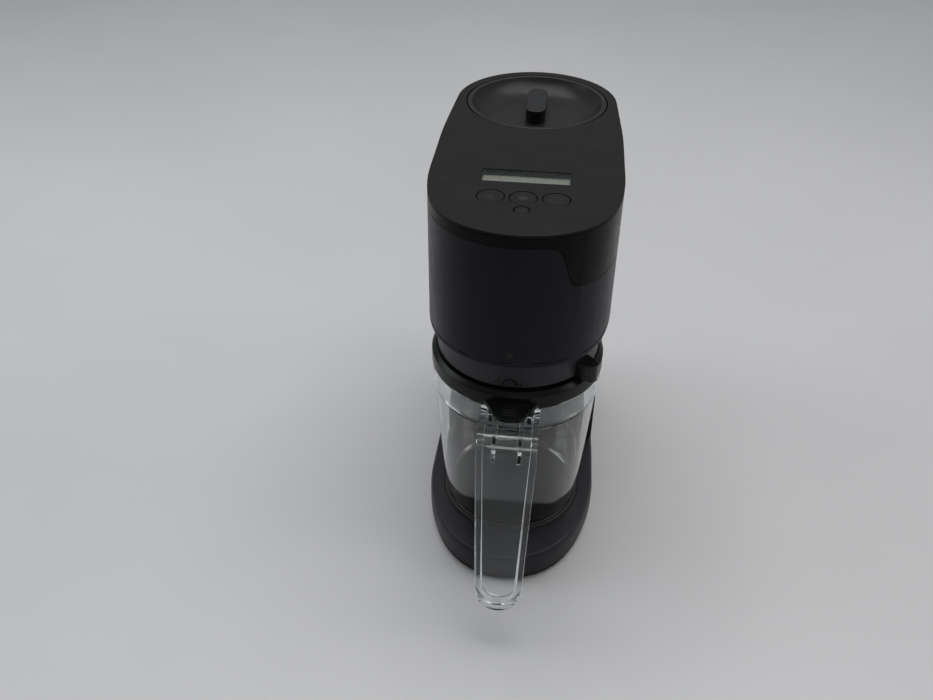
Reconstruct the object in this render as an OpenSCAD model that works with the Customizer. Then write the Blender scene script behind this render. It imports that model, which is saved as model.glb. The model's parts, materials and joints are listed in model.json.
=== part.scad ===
// Drip coffee maker with a built-in bean grinder and a glass jug.
// Origin: centre of the footprint, on the surface it stands on.
// +X is the right side, +Y is the back, +Z is up. Millimetres.

/* [Body] */
// Full width of the body at its widest
body_w = 170.5; // [168:0.5:172]
// Height of the top panel above the table
body_h = 388; // [386:0.5:394]
// Radius of the round back of the body
rear_r = 80.5; // [80:0.1:81]
// Distance of the bean hopper's axis behind the origin
hopper_y = 143; // [142:0.5:144]
// Distance of the brewing axis behind the origin
brew_y = -43; // [-44:0.5:-42]
// Foremost point of the upper body
body_front = -132.3; // [-133:0.1:-131]
// Wall thickness of the plastic covers
wall = 2.5; // [2.2:0.1:2.8]

/* [Base] */
// Full width of the base
base_w = 175.5; // [175:0.5:178]
// Foremost point of the base
base_front = -150.5; // [-152:0.5:-148]
// Height of the base's top face
base_top = 34; // [33:0.5:34]
// Radius of the keep-warm plate
plate_r = 66; // [62:0.5:66]

/* [Upper body] */
// Underside of the upper body, above the jug
drum_z = 258; // [257:0.5:259]
// Lower edge of the collar below the top panel
collar_z = 376; // [374:0.5:377]
// Lower edge of the side panel
flag_z = 333.4; // [325:0.5:340]
// Radius of the opening for the bean lid
lid_hole_r = 71.2; // [71:0.1:71.5]

/* [Controls] */
// Radius of a round button
button_r = 11.5; // [10:0.1:12]
// Distance between neighbouring button centres
button_pitch = 27.5; // [27:0.5:30]
// Radius of the small button
small_button_r = 6.5; // [5:0.1:7]
// Travel of each button
button_travel = 1.2; // [0.8:0.1:1.3]
// Width of the display window
lcd_w = 78; // [70:0.5:80]
// Depth of the display window
lcd_d = 22.5; // [20:0.5:23]

/* [Filter holder] */
// Outer radius of the visible ring
ring_r = 76.4; // [76:0.1:76.8]
// Underside of the filter holder
ring_z = 228; // [227.5:0.1:228.5]
// Angle of the lever from the front, towards the right
lever_angle = 53; // [50:1:56]
// Turn of the holder from locked to open
holder_turn = 38; // [30:1:40]

/* [Jug] */
// Outer radius of the glass near its top
glass_r = 79.3; // [78.5:0.1:79.5]
// Outer radius of the glass near its bottom
glass_low_r = 71.4; // [70:0.1:76]
// Wall thickness of the glass
glass_t = 2.4; // [2:0.1:2.6]
// Outer radius of the jug lid
jug_lid_r = 82; // [81.8:0.1:82.2]
// Width of the handle at its bend
handle_w = 54; // [50:0.5:56]
// Width of the handle near its free end
handle_low_w = 43; // [40:0.5:45]

/* [Hidden] */
$fn = 96;

gap = 0.4;
body_half = body_w / 2;
base_half = base_w / 2;

// Levels, from the table up
foot_z = 3;
base_low = 9;
column_z = base_top + 0.3;
tank_z0 = 39;
tank_z1 = 185;
motor_z = 190;
gearbox_z = 254;
chamber_z = 288;
neck_z = 320;
hood_top = 314;
board_z = 376;
panel_z = body_h - 2.5;
deck_z = drum_z + 2.5;
deck_t = 3;

// Depths, from front to back
bay_y = 38;
bay_r = 84.6;
tank_y = 99;
partition_y = 95;

// Lever, jug lid and handle levels
lever_z0 = 224;
lever_z1 = 241.5;
jug_z = base_top + 1.3;
plate_top = base_top + 1;
collar_low = 181;
jug_rim = 205;
jug_lid_z = 222.5;
handle_top = 204;
handle_t = 13;
handle_bend_y = -151;
handle_bend_r = 20;
handle_tilt = 20.3;
rail_t = 5.8;
web_t = 2.6;
rib_t = 3.4;
pin_y = -127;
pin_z = 196;

// Screws
screw_r = 1.5;
screw_head_r = 3.2;

// ---- outlines ----

function arc(c, r, a0, a1, n) =
    [for (i = [0 : n]) let (a = a0 + (a1 - a0) * i / n) [c[0] + r * cos(a), c[1] + r * sin(a)]];

function bezier(p0, p1, p2, n) =
    [for (i = [1 : n - 1]) let (t = i / n) (1 - t) * (1 - t) * p0 + 2 * t * (1 - t) * p1 + t * t * p2];

function reversed(v) = [for (i = [len(v) - 1 : -1 : 0]) v[i]];

function cubic(p0, p1, p2, p3, n) =
    [for (i = [1 : n]) let (t = i / n, u = 1 - t)
        u * u * u * p0 + 3 * u * u * t * p1 + 3 * u * t * t * p2 + t * t * t * p3];

// Plan outlines: half width, foremost point, radius of the front arc, half angle of the front arc,
// depth of the widest point, and how far the corner curve keeps the direction of the front and of the side
body_plan = [body_half, body_front, 92, 28, 2, 52, 34];
base_plan = [base_half, base_front, 80, 15, -29, 59, 20];
side_hold = 63;
rear_hold = 96;
rear_turn = 3.5;

// Right half of a plan outline, from the front point to the back point.
// The front is an arc, a corner curve leads to the widest point, the sides close in to the round back.
function half_outline(plan) =
    let (
        radius = plan[2],
        turn = plan[3],
        corner = [radius * sin(turn), plan[1] + radius * (1 - cos(turn))],
        widest = [plan[0], plan[4]],
        rear = [rear_r * cos(rear_turn), hopper_y + rear_r * sin(rear_turn)]
    )
    concat(
        arc([0, plan[1] + radius], radius, -90, turn - 90, round(turn / 5)),
        cubic(corner, corner + plan[5] * [cos(turn), sin(turn)], widest - [0, plan[6]], widest, 13),
        cubic(widest, widest + [0, side_hold], rear + rear_hold * [sin(rear_turn), -cos(rear_turn)], rear, 9),
        arc([0, hopper_y], rear_r, rear_turn + 4, 90, 20)
    );

// Unit vector square to the right of the way from a to b
function outward(a, b) = [b[1] - a[1], a[0] - b[0]] / norm(b - a);

// A closed outline moved inwards by the distance inset
function moved_in(points, inset) =
    let (n = len(points))
    [for (i = [0 : n - 1])
        let (
            before = outward(points[(i + n - 1) % n], points[i]),
            after = outward(points[i], points[(i + 1) % n]),
            middle = (before + after) / norm(before + after)
        )
        points[i] - inset / (middle * after) * middle];

function outline(plan, inset) =
    let (half = half_outline(plan))
    moved_in(concat(half, [for (p = reversed(half)) if (p[0] > 0.01) [-p[0], p[1]]]), inset);

module slab(plan, inset, z0, z1) {
    translate([0, 0, z0])
        linear_extrude(height = z1 - z0)
            polygon(outline(plan, inset));
}

module body_slab(inset, z0, z1) {
    slab(body_plan, inset, z0, z1);
}

module ring(r_out, r_in, z0, z1) {
    translate([0, 0, z0])
        difference() {
            cylinder(r = r_out, h = z1 - z0);
            translate([0, 0, -1])
                cylinder(r = r_in, h = z1 - z0 + 2);
        }
}

module disc(r, z0, z1) {
    translate([0, 0, z0])
        cylinder(r = r, h = z1 - z0);
}

module at_brew() {
    translate([0, brew_y, 0])
        children();
}

module at_hopper() {
    translate([0, hopper_y, 0])
        children();
}

module revolve(points) {
    rotate_extrude()
        polygon(points);
}

// A box by its two opposite corners
module span(low, high) {
    translate(low)
        cube(high - low);
}

// A screw pointing up from its head, with a cross recess in the head
module screw(length) {
    difference() {
        union() {
            cylinder(r = screw_head_r, h = 2, $fn = 32);
            cylinder(r = screw_r, h = length, $fn = 24);
        }
        for (turn = [0, 90])
            rotate([0, 0, turn])
                translate([-2, -0.4, -0.1])
                    cube([4, 0.8, 1.1]);
    }
}

function unit(v) = v / norm(v);

// A route with its corners rounded over the distance reach
function rounded_route(points, reach) =
    concat(
        [points[0]],
        [for (i = [1 : len(points) - 2])
            let (
                p = points[i],
                before = p + reach * unit(points[i - 1] - p),
                after = p + reach * unit(points[i + 1] - p)
            )
            each concat([before], bezier(before, p, after, 4), [after])],
        [points[len(points) - 1]]
    );

function directions(points) =
    let (last = len(points) - 1)
    [for (i = [0 : last]) unit(points[min(i + 1, last)] - points[max(i - 1, 0)])];

// Side vectors that turn as little as possible along the route
function side_vectors(dirs, n, i = 0) =
    i == len(dirs) ? [] :
    let (m = unit(n - (n * dirs[i]) * dirs[i]))
    concat([m], side_vectors(dirs, m, i + 1));

tube_sides = 10;

// A round tube along a route
module pipe(points, r, reach = 7) {
    route = rounded_route(points, reach);
    dirs = directions(route);
    sides = side_vectors(dirs, [0.3, 0.5, 0.81]);
    rings = [for (i = [0 : len(route) - 1]) for (j = [0 : tube_sides - 1])
        let (a = 360 * j / tube_sides)
        route[i] + r * (cos(a) * sides[i] + sin(a) * cross(dirs[i], sides[i]))];
    last = (len(route) - 1) * tube_sides;
    walls = [for (i = [0 : len(route) - 2]) for (j = [0 : tube_sides - 1])
        let (k = (j + 1) % tube_sides, b = i * tube_sides)
        [b + j, b + tube_sides + j, b + tube_sides + k, b + k]];
    polyhedron(
        points = rings,
        faces = concat(
            walls,
            [[for (j = [0 : tube_sides - 1]) j]],
            [[for (j = [tube_sides - 1 : -1 : 0]) last + j]]
        ),
        convexity = 8
    );
}

// ---- base ----

base_bolts = [[-77, -20], [77, -20], [-62, 150], [62, 150]];
foot_places = [[-58, -95], [58, -95], [-50, 178], [50, 178]];
gland_x = 30;
gland_y = hopper_y + 62;
gland_z = 21;

module base_outer() {
    hull() {
        slab(base_plan, 0.5, base_low, base_low + 0.1);
        slab(base_plan, 0, base_low + 0.8, base_top - 10);
        slab(base_plan, 0.4, base_top - 5.5, base_top - 5.4);
        slab(base_plan, 1.2, base_top - 2.5, base_top - 2.4);
        slab(base_plan, 2.2, base_top - 0.8, base_top - 0.7);
        slab(base_plan, 3.4, base_top - 0.1, base_top);
    }
}

module base_housing() {
    color([0.15, 0.15, 0.165])
        difference() {
            base_outer();
            difference() {
                slab(base_plan, wall + 1, base_low - 1, base_top - 3);
                for (p = base_bolts)
                    translate([p[0], p[1], 12.2])
                        ring(4, 1.6, 0, base_top);
            }
            at_brew()
                disc(plate_r + 5.3, base_top - 4, base_top + 1);
            // ways through for the riser pipe, the inlet hose and the wires
            for (x = [-riser_x, riser_x])
                translate([x, riser_y, base_top - 4])
                    cylinder(r = 8, h = 6);
            translate([20, 150, base_top - 4])
                cylinder(r = 9, h = 6);
            translate([gland_x, gland_y - 30, gland_z])
                rotate([-90, 0, 0])
                    cylinder(r = 6.2, h = 60);
        }
}

module base_bottom_cover() {
    color([0.06, 0.06, 0.065])
        difference() {
            union() {
                slab(base_plan, 1.4, foot_z, base_low - gap);
                slab(base_plan, 6, foot_z, base_low + 3);
            }
            difference() {
                slab(base_plan, 1.4 + wall, foot_z + wall, base_low + 4);
                difference() {
                    slab(base_plan, 6, foot_z, base_low + 5);
                    slab(base_plan, 6 + wall, foot_z, base_low + 6);
                }
            }
            for (p = base_bolts)
                translate([p[0], p[1], foot_z - 1])
                    cylinder(r = 1.8, h = 5, $fn = 24);
            for (p = foot_places)
                translate([p[0], p[1], foot_z - 1])
                    cylinder(r = 8, h = 2);
            // cooling slots below the keep-warm plate
            for (x = [-24 : 8 : 24])
                span([x - 1.5, brew_y - 25, foot_z - 1], [x + 1.5, brew_y + 25, foot_z + 4]);
        }
}

module rubber_feet() {
    color([0.04, 0.04, 0.04])
        for (p = foot_places)
            translate([p[0], p[1], 0])
                difference() {
                    union() {
                        cylinder(r1 = 8.5, r2 = 9.2, h = foot_z);
                        cylinder(r = 7.9, h = foot_z + 0.9);
                    }
                    translate([0, 0, -1])
                        cylinder(r = 4, h = 2.5);
                }
}

module base_screws() {
    color([0.6, 0.6, 0.62])
        for (p = base_bolts)
            translate([p[0], p[1], foot_z - 2.1])
                screw(14);
}

module hot_plate() {
    color([0.09, 0.09, 0.1])
        at_brew()
            revolve([
                [0, plate_top - 1.6], [plate_r - 2, plate_top - 1.6], [plate_r - 2, plate_top - 6],
                [plate_r, plate_top - 6], [plate_r, plate_top - 0.8], [plate_r - 0.8, plate_top],
                [0, plate_top]
            ]);
}

module hot_plate_seal() {
    color([0.03, 0.03, 0.03])
        at_brew()
            revolve([
                [plate_r + 0.3, base_top - 5], [plate_r + 7, base_top - 5], [plate_r + 7, base_top - 3.2],
                [plate_r + 5, base_top - 3.2], [plate_r + 5, base_top - 0.2],
                [plate_r + 3, base_top - 0.2], [plate_r + 1.8, base_top + 0.5],
                [plate_r + 0.3, base_top + 0.5]
            ]);
}

element_r = 45;
element_z = plate_top - 6.2;

module heating_element() {
    color([0.7, 0.7, 0.72])
        at_brew() {
            // curved run of the tube, pressed to the underside of the plate
            rotate([0, 0, 135])
                rotate_extrude(angle = 270)
                    translate([element_r, element_z])
                        circle(r = 4.2, $fn = 24);
            for (side = [-1, 1])
                rotate([0, 0, 90 - side * 45])
                    translate([element_r, 0, element_z])
                        rotate([side * -90, 0, 0])
                            cylinder(r = 4.2, h = 10, $fn = 24);
        }
}

module thermostat() {
    color([0.75, 0.72, 0.65])
        at_brew() {
            disc(12, element_z - 2, plate_top - 1.8);
            disc(8, element_z - 9, element_z - 2);
            for (x = [-16, 16])
                span([min(x, 0), -3, element_z - 2], [max(x, 0), 3, element_z - 0.8]);
        }
}

module power_board() {
    color([0.1, 0.3, 0.18]) {
        span([-40, 108, 8], [40, 160, 9.6]);
        span([-34, 114, 9.6], [-12, 134, 25]);
        span([-4, 116, 9.6], [12, 128, 22]);
        translate([34, 122, 9.6])
            cylinder(r = 6, h = 16, $fn = 32);
        span([-30, 144, 9.6], [10, 152, 17]);
    }
}

module cord_gland() {
    color([0.05, 0.05, 0.05])
        translate([gland_x, 0, gland_z])
            rotate([-90, 0, 0])
                difference() {
                    union() {
                        translate([0, 0, gland_y])
                            cylinder(r = 8, h = 4, $fn = 32);
                        translate([0, 0, gland_y + 4])
                            cylinder(r1 = 6, r2 = 5.4, h = 12, $fn = 32);
                    }
                    translate([0, 0, gland_y - 1])
                        cylinder(r = 3.4, h = 20, $fn = 32);
                }
}

module check_valve() {
    color([0.85, 0.85, 0.82])
        translate([-26, 80, 18]) {
            rotate([90, 0, 0]) {
                cylinder(r = 7, h = 16, $fn = 32);
                translate([0, 0, -6])
                    cylinder(r = 3.4, h = 28, $fn = 24);
            }
        }
}

module inlet_hose() {
    color([0.8, 0.78, 0.74]) {
        pipe([[20, 150, 30.8], [20, 150, 24], [20, 98, 20], [-26, 98, 18], [-26, 86.2, 18]], 4);
        pipe([[-26, 57.8, 18], [-26, 36, 18], [-9, 11.6, element_z], [-24.4, -3.8, element_z]], 4);
    }
}

// ---- column ----

screw_x = 26;
boss_y = 204;
screw_z = drum_z - 12;

module bay_cut(z0, z1) {
    span([-100, -200, z0], [100, bay_y, z1]);
    at_brew()
        disc(bay_r, z0, z1);
}

module column_housing() {
    color([0.13, 0.13, 0.14])
        difference() {
            body_slab(0, column_z, drum_z - 0.2);
            bay_cut(column_z - 1, drum_z + 1);
            // front duct, for the pipes and wires
            difference() {
                intersection() {
                    body_slab(wall, column_z - 1, drum_z + 1);
                    span([-90, bay_y + wall, column_z - 1], [90, partition_y, drum_z + 1]);
                }
                at_brew()
                    disc(bay_r + wall, column_z - 2, drum_z + 2);
            }
            // motor space above the tank, with a boss for each screw
            difference() {
                intersection() {
                    body_slab(wall, tank_z1 + 3.4, drum_z + 1);
                    span([-90, partition_y + 3.6, tank_z1 + 3.4], [90, 230, drum_z + 1]);
                }
                for (x = [-screw_x, screw_x])
                    translate([x, boss_y, screw_z])
                        rotate([-90, 0, 0])
                            cylinder(r = 6, h = 30, $fn = 48);
            }
            // tank bay, open to the back
            span([-100, tank_y - gap, tank_z0 - gap], [100, 230, tank_z1 + gap]);
            // seat of the tank socket
            translate([20, 150, column_z - 1])
                cylinder(r = 9.2, h = 6);
            for (x = [-screw_x, screw_x])
                translate([x, boss_y + 1.5, screw_z])
                    rotate([-90, 0, 0]) {
                        cylinder(r = 1.7, h = 20, $fn = 24);
                        translate([0, 0, 9.6])
                            cylinder(r = 3.5, h = 20, $fn = 32);
                    }
        }
}

module column_screws() {
    color([0.6, 0.6, 0.62])
        for (x = [-screw_x, screw_x])
            translate([x, boss_y + 13.2, screw_z])
                rotate([90, 0, 0])
                    screw(11);
}

riser_x = 60;
riser_y = 68;

module riser_pipe() {
    color([0.72, 0.74, 0.76])
        pipe([
            [24.4, -3.8, element_z], [9, 11.6, element_z], [36, 38, 20], [riser_x, 52, 20],
            [riser_x, riser_y, 26],
            [riser_x, riser_y, 330], [0, brew_y, 330], [0, brew_y, hood_top + 0.2]
        ], 3.6);
}

module wire_loom() {
    color([0.1, 0.1, 0.1])
        pipe([
            [-38, 132, 13], [-riser_x, 90, 14], [-riser_x, riser_y, 20], [-riser_x, riser_y, 352],
            [-44, 30, 368], [-44, 30, board_z]
        ], 3);
}

module tank_socket() {
    color([0.25, 0.25, 0.26])
        translate([20, 150, 0])
            difference() {
                union() {
                    disc(9, column_z + 0.1, tank_z0 - gap);
                    disc(7.5, base_top - 3, column_z + 0.1);
                }
                disc(4.2, base_top - 4, tank_z0 - 2);
                disc(5.6, tank_z0 - 2.5, tank_z0 + 1);
            }
}

// ---- water tank ----

tank_grip_z = 150;

module tank_block(inset, z0, z1) {
    intersection() {
        body_slab(inset, z0, z1);
        span([-100, tank_y + inset, z0], [100, 240, z1]);
    }
}

module water_tank() {
    color([0.35, 0.36, 0.38, 0.75])
        difference() {
            tank_block(0, tank_z0, tank_z1 - 3);
            difference() {
                tank_block(2.2, tank_z0 + 2.5, tank_z1);
                // inner wall round the finger recess
                span([-32, 205, tank_grip_z - 14], [32, 240, tank_z1]);
            }
            // finger recess in the back
            span([-29, 208, tank_grip_z - 11], [29, 240, tank_grip_z + 14]);
            translate([20, 150, tank_z0 - 1])
                cylinder(r = 6.3, h = 6);
        }
}

module tank_lid() {
    color([0.12, 0.12, 0.13])
        difference() {
            tank_block(0, tank_z1 - 2.8, tank_z1);
            translate([-30, 130, tank_z1 - 1.2])
                cube([60, 40, 2]);
        }
}

module tank_valve() {
    color([0.8, 0.8, 0.78])
        translate([20, 150, 0]) {
            disc(6, tank_z0 + 0.4, tank_z0 + 3);
            disc(9, tank_z0 + 3, tank_z0 + 6);
            disc(2.5, tank_z0 + 6, tank_z0 + 14);
        }
}

// ---- upper body ----

lug_in = 71.5;
lug_out = 75.5;
lug_width = 30;
hole_in = 72;
notch_out = 76.4;

// Sector of a ring, centred on the angle turn
module ring_sector(r_in, r_out, turn, width, z0, z1) {
    rotate([0, 0, turn - width / 2])
        translate([0, 0, z0])
            rotate_extrude(angle = width)
                translate([r_in, 0])
                    square([r_out - r_in, z1 - z0]);
}

module brew_deck() {
    color([0.2, 0.2, 0.21])
        difference() {
            body_slab(wall + 0.2, deck_z, deck_z + deck_t);
            at_brew() {
                disc(hole_in, deck_z - 1, deck_z + deck_t + 1);
                for (i = [0 : 2])
                    ring_sector(hole_in - 1, notch_out, 30 + 120 * i - holder_turn, lug_width + 4, deck_z - 1,
                                deck_z + deck_t + 1);
            }
            at_hopper()
                disc(36, deck_z - 1, deck_z + deck_t + 1);
            for (x = [-riser_x, riser_x])
                translate([x, riser_y, deck_z - 1])
                    cylinder(r = 7, h = deck_t + 2);
        }
}

// Front view of the side panel: an S-shaped front edge that runs into a level lower edge
flag_x = 43;
flag_corner = 13;
flag_fillet = 14;
flag_lean = 16;

module flag_profile(grow) {
    polygon(concat(
        [[110, collar_z + 1], [flag_x - 20 - grow, collar_z + 1]],
        reversed(arc([flag_x - 19.3, collar_z - flag_fillet], flag_fillet - grow, flag_lean, 90, 10)),
        arc([flag_x + flag_corner, flag_z + flag_corner + 0.6], flag_corner + grow, 180 + flag_lean, 270, 10),
        [[110, flag_z + 0.6 - grow]]
    ));
}

flag_back = 92;

module flag_volume(grow) {
    translate([0, flag_back + grow, 0])
        rotate([90, 0, 0])
            linear_extrude(height = flag_back + 140)
                flag_profile(grow);
}

module drum_shell() {
    color([0.11, 0.105, 0.13])
        difference() {
            body_slab(0, drum_z, collar_z - 0.3);
            body_slab(wall, deck_z, collar_z + 1);
            at_brew()
                disc(ring_r + 2.2, drum_z - 1, deck_z + 1);
            intersection() {
                body_slab(wall, drum_z - 1, deck_z + 1);
                span([-90, bay_y + 4, drum_z - 1], [90, 230, deck_z + 1]);
            }
            flag_volume(0.35);
            // fine groove above the lower edge
            difference() {
                body_slab(-1, drum_z + 4, drum_z + 4.5);
                body_slab(0.5, drum_z + 3, drum_z + 5.5);
            }
        }
}

module collar_panel() {
    color([0.085, 0.085, 0.095]) {
        difference() {
            body_slab(0, collar_z, panel_z - 0.3);
            body_slab(wall, collar_z - 1, panel_z + 1);
        }
        intersection() {
            difference() {
                body_slab(0, flag_z - 5, collar_z);
                body_slab(wall, flag_z - 6, collar_z + 1);
            }
            flag_volume(0);
        }
    }
}

button_row_y = hopper_y - 211;
small_button_y = hopper_y - 232.5;
lcd_y = hopper_y - 172.2;
ledge = 0.8;
lid_chamfer = 0.4;
lcd_glass_z = panel_z - 3;

// A hole for a key, with a chamfered edge
module button_hole(r) {
    chamfer = 0.7;
    disc(r + gap, panel_z - 1, body_h + 1);
    translate([0, 0, body_h - chamfer])
        cylinder(r1 = r + gap, r2 = r + gap + 2 * chamfer, h = 2 * chamfer);
}

// A shroud below the window, down to the display
module lcd_shroud(wall_t) {
    half = [lcd_w / 2 - ledge + wall_t, lcd_d / 2 - ledge + wall_t];
    span([-half[0], lcd_y - half[1], lcd_glass_z], [half[0], lcd_y + half[1], panel_z]);
}

module top_panel() {
    color([0.16, 0.16, 0.16])
        difference() {
            union() {
                body_slab(0, panel_z, body_h);
                difference() {
                    body_slab(wall + 0.3, panel_z - 5, panel_z);
                    body_slab(wall + 2.1, panel_z - 6, panel_z + 0.1);
                }
                lcd_shroud(1.2);
            }
            at_hopper() {
                disc(lid_hole_r, panel_z - 7, body_h + 1);
                translate([0, 0, body_h - lid_chamfer])
                    cylinder(r1 = lid_hole_r, r2 = lid_hole_r + 2 * lid_chamfer, h = 2 * lid_chamfer);
            }
            translate([-lcd_w / 2 - 0.2, lcd_y - lcd_d / 2 - 0.2, body_h - 1.8])
                cube([lcd_w + gap, lcd_d + gap, 5]);
            translate([-lcd_w / 2 + ledge, lcd_y - lcd_d / 2 + ledge, lcd_glass_z - 1])
                cube([lcd_w - 2 * ledge, lcd_d - 2 * ledge, 8]);
            for (i = [-1 : 1])
                translate([i * button_pitch, button_row_y, 0])
                    button_hole(button_r);
            translate([0, small_button_y, 0])
                button_hole(small_button_r);
        }
}

module lcd_window() {
    color([0.42, 0.46, 0.4])
        translate([-lcd_w / 2, lcd_y - lcd_d / 2, body_h - 1.8])
            cube([lcd_w, lcd_d, 1.2]);
}

module lcd_module() {
    color([0.5, 0.52, 0.48]) {
        span([-lcd_w / 2, lcd_y - lcd_d / 2, lcd_glass_z - 2.4],
             [lcd_w / 2, lcd_y + lcd_d / 2, lcd_glass_z - 0.2]);
        span([-lcd_w / 2 - 2, lcd_y - 14, board_z + 0.4 + board_t],
             [lcd_w / 2 + 2, lcd_y + 14, lcd_glass_z - 2.4]);
    }
}

board_t = 1.6;

module control_board() {
    color([0.08, 0.28, 0.16]) {
        span([-56, -92, board_z + 0.2], [56, 36, board_z + 0.2 + board_t]);
        span([-48, 4, board_z + 1.8], [-20, 26, board_z + 5]);
        span([20, 8, board_z + 1.8], [34, 22, board_z + 4.4]);
    }
}

module button_switches() {
    color([0.75, 0.75, 0.72])
        for (p = [[-button_pitch, button_row_y], [0, button_row_y], [button_pitch, button_row_y],
                  [0, small_button_y]])
            translate([p[0], p[1], board_z + 0.2 + board_t]) {
                translate([-3, -3, 0])
                    cube([6, 6, 2.6]);
                cylinder(r = 1.7, h = key_low - button_travel - 0.3 - board_z - 0.2 - board_t, $fn = 24);
            }
}

// ---- buttons ----

button_top = body_h - 0.4;

flange = 1.2;
key_low = button_top - 4.3;

module push_button(r, x, y) {
    color([0.13, 0.13, 0.13])
        translate([x, y, 0])
            revolve([
                [0, key_low], [1.6, key_low], [1.6, key_low + 0.6],
                [r + flange, key_low + 0.6], [r + flange, panel_z - 0.4], [r, panel_z - 0.4],
                [r, button_top - 0.6],
                [r - 0.6, button_top], [r - 3, button_top - 0.35], [0, button_top - 0.5]
            ]);
}

module button_left() { push_button(button_r, -button_pitch, button_row_y); }
module button_centre() { push_button(button_r, 0, button_row_y); }
module button_right() { push_button(button_r, button_pitch, button_row_y); }
module button_small() { push_button(small_button_r, 0, small_button_y); }

// ---- bean hopper and lid ----

hopper_r = 68.5;
lid_r = lid_hole_r - 0.8;
lid_floor = body_h - 14;
dish_in = 38;
dish_r = 34;
grip_half = 9.7;
grip_ends = [-19.5, 23.5];
lid_low = panel_z - 2.1;

module bean_hopper() {
    color([0.3, 0.3, 0.32, 0.6])
        at_hopper()
            revolve([
                [hopper_r, panel_z - 18], [hopper_r, lid_low - 0.4], [lid_hole_r + 2, lid_low - 0.4],
                [lid_hole_r + 2, lid_low - 2.4], [hopper_r + 2, lid_low - 2.4], [hopper_r + 2, panel_z - 19],
                [22, neck_z + 6], [22, neck_z + 0.4], [20, neck_z + 0.4], [20, neck_z + 6.6]
            ]);
}

module bean_lid() {
    color([0.12, 0.12, 0.12])
        at_hopper() {
            // dished bowl with a narrow flat rim
            revolve(concat(
                [[0, lid_floor - 2.2]],
                arc([dish_in, lid_floor + dish_r], dish_r + 2.2, -90, -43, 10),
                [[66.2, lid_low], [lid_r, lid_low], [lid_r, body_h - 0.7], [lid_r - 0.6, body_h]],
                reversed(arc([dish_in, lid_floor + dish_r], dish_r, -90, -35.6, 10)),
                [[0, lid_floor]]
            ));
            // grip bar, from front to back
            for (y = grip_ends)
                translate([0, y, lid_floor - 0.5])
                    cylinder(r = grip_half, h = body_h - lid_floor + 0.5);
            span([-grip_half, grip_ends[0], lid_floor - 0.5], [grip_half, grip_ends[1], body_h]);
        }
}

module bean_lid_seal() {
    color([0.5, 0.5, 0.5])
        at_hopper()
            ring(hopper_r - 0.5, hopper_r - 2.2, lid_low - 3.4, lid_low);
}

// ---- grinder ----

shaft_r = 4;
chute_w = 30;
chute_h = 15;

module grinder_housing() {
    color([0.16, 0.16, 0.17])
        at_hopper()
            difference() {
                ring(34, 5, chamber_z, neck_z);
                disc(30.5, chamber_z + 3, neck_z + 1);
                span([-chute_w / 2, -40, chamber_z + 3], [chute_w / 2, 0, chamber_z + 3 + chute_h]);
            }
}

module upper_burr() {
    color([0.62, 0.62, 0.64])
        at_hopper()
            difference() {
                revolve([
                    [22, neck_z - 14], [30.2, neck_z - 14], [30.2, neck_z], [18, neck_z], [18, neck_z - 4]
                ]);
                for (i = [0 : 17])
                    rotate([0, 0, i * 20])
                        translate([17, -0.8, neck_z - 15])
                            cube([6.5, 1.6, 12]);
            }
}

module lower_burr() {
    color([0.6, 0.6, 0.62])
        at_hopper() {
            difference() {
                revolve([
                    [shaft_r, neck_z - 14], [20.6, neck_z - 14], [16.2, neck_z - 4], [9, neck_z + 3],
                    [shaft_r, neck_z + 3]
                ]);
                for (i = [0 : 11])
                    rotate([0, 0, i * 30])
                        translate([13, -0.9, neck_z - 15])
                            cube([9, 1.8, 14]);
            }
            // paddles that sweep the grounds into the chute
            difference() {
                union() {
                    disc(11, chamber_z + 4, neck_z - 14);
                    for (turn = [0, 90])
                        rotate([0, 0, turn])
                            span([-28, -1.5, chamber_z + 4], [28, 1.5, chamber_z + 14]);
                }
                disc(shaft_r, chamber_z, neck_z);
            }
        }
}

module burr_shaft() {
    color([0.7, 0.7, 0.7])
        at_hopper() {
            disc(shaft_r, gearbox_z + 20, neck_z + 3);
            disc(7, neck_z + 3, neck_z + 6);
        }
}

module grinder_gearbox() {
    color([0.2, 0.2, 0.22])
        at_hopper()
            difference() {
                union() {
                    disc(34, gearbox_z, chamber_z - 0.2);
                    disc(44, deck_z + deck_t, deck_z + deck_t + 3);
                }
                disc(shaft_r + 0.05, gearbox_z + 18, chamber_z + 1);
            }
}

module grinder_motor() {
    color([0.55, 0.56, 0.58])
        at_hopper()
            difference() {
                union() {
                    disc(29, motor_z + 8, gearbox_z);
                    for (side = [-1, 1])
                        span([side > 0 ? 28 : -31, -10, motor_z + 16],
                             [side > 0 ? 31 : -28, 10, gearbox_z - 6]);
                }
                // cooling windows
                for (i = [0 : 5])
                    rotate([0, 0, 30 + i * 60])
                        span([25, -4, motor_z + 20], [33, 4, motor_z + 30]);
            }
}

module motor_cap() {
    color([0.1, 0.1, 0.1])
        at_hopper() {
            disc(29, motor_z + 2, motor_z + 8);
            disc(8, motor_z - 1, motor_z + 2);
        }
}

module grind_chute() {
    chute_front = 26;
    chute_back = hopper_y - 34.3;
    chute_drop = 3;
    length = chute_back - chute_front;
    color([0.18, 0.18, 0.19])
        translate([0, chute_back, chamber_z + 3.5])
            multmatrix([[1, 0, 0, 0], [0, 1, 0, 0], [0, chute_drop / length, 1, 0]])
                difference() {
                    span([-chute_w / 2, -length, 0], [chute_w / 2, 0, chute_h]);
                    span([-chute_w / 2 + 1.6, -length - 1, 1.6], [chute_w / 2 - 1.6, 1, chute_h - 1.6]);
                }
}

module steam_hood() {
    color([0.16, 0.16, 0.17])
        at_brew()
            difference() {
                ring(ring_r + 2.6, 3.9, deck_z + deck_t, hood_top);
                disc(ring_r + 0.6, deck_z + deck_t - 1, hood_top - 2);
                span([-chute_w / 2 - 0.5, 60, chamber_z - 6], [chute_w / 2 + 0.5, 90, chamber_z + 20]);
            }
}

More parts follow.
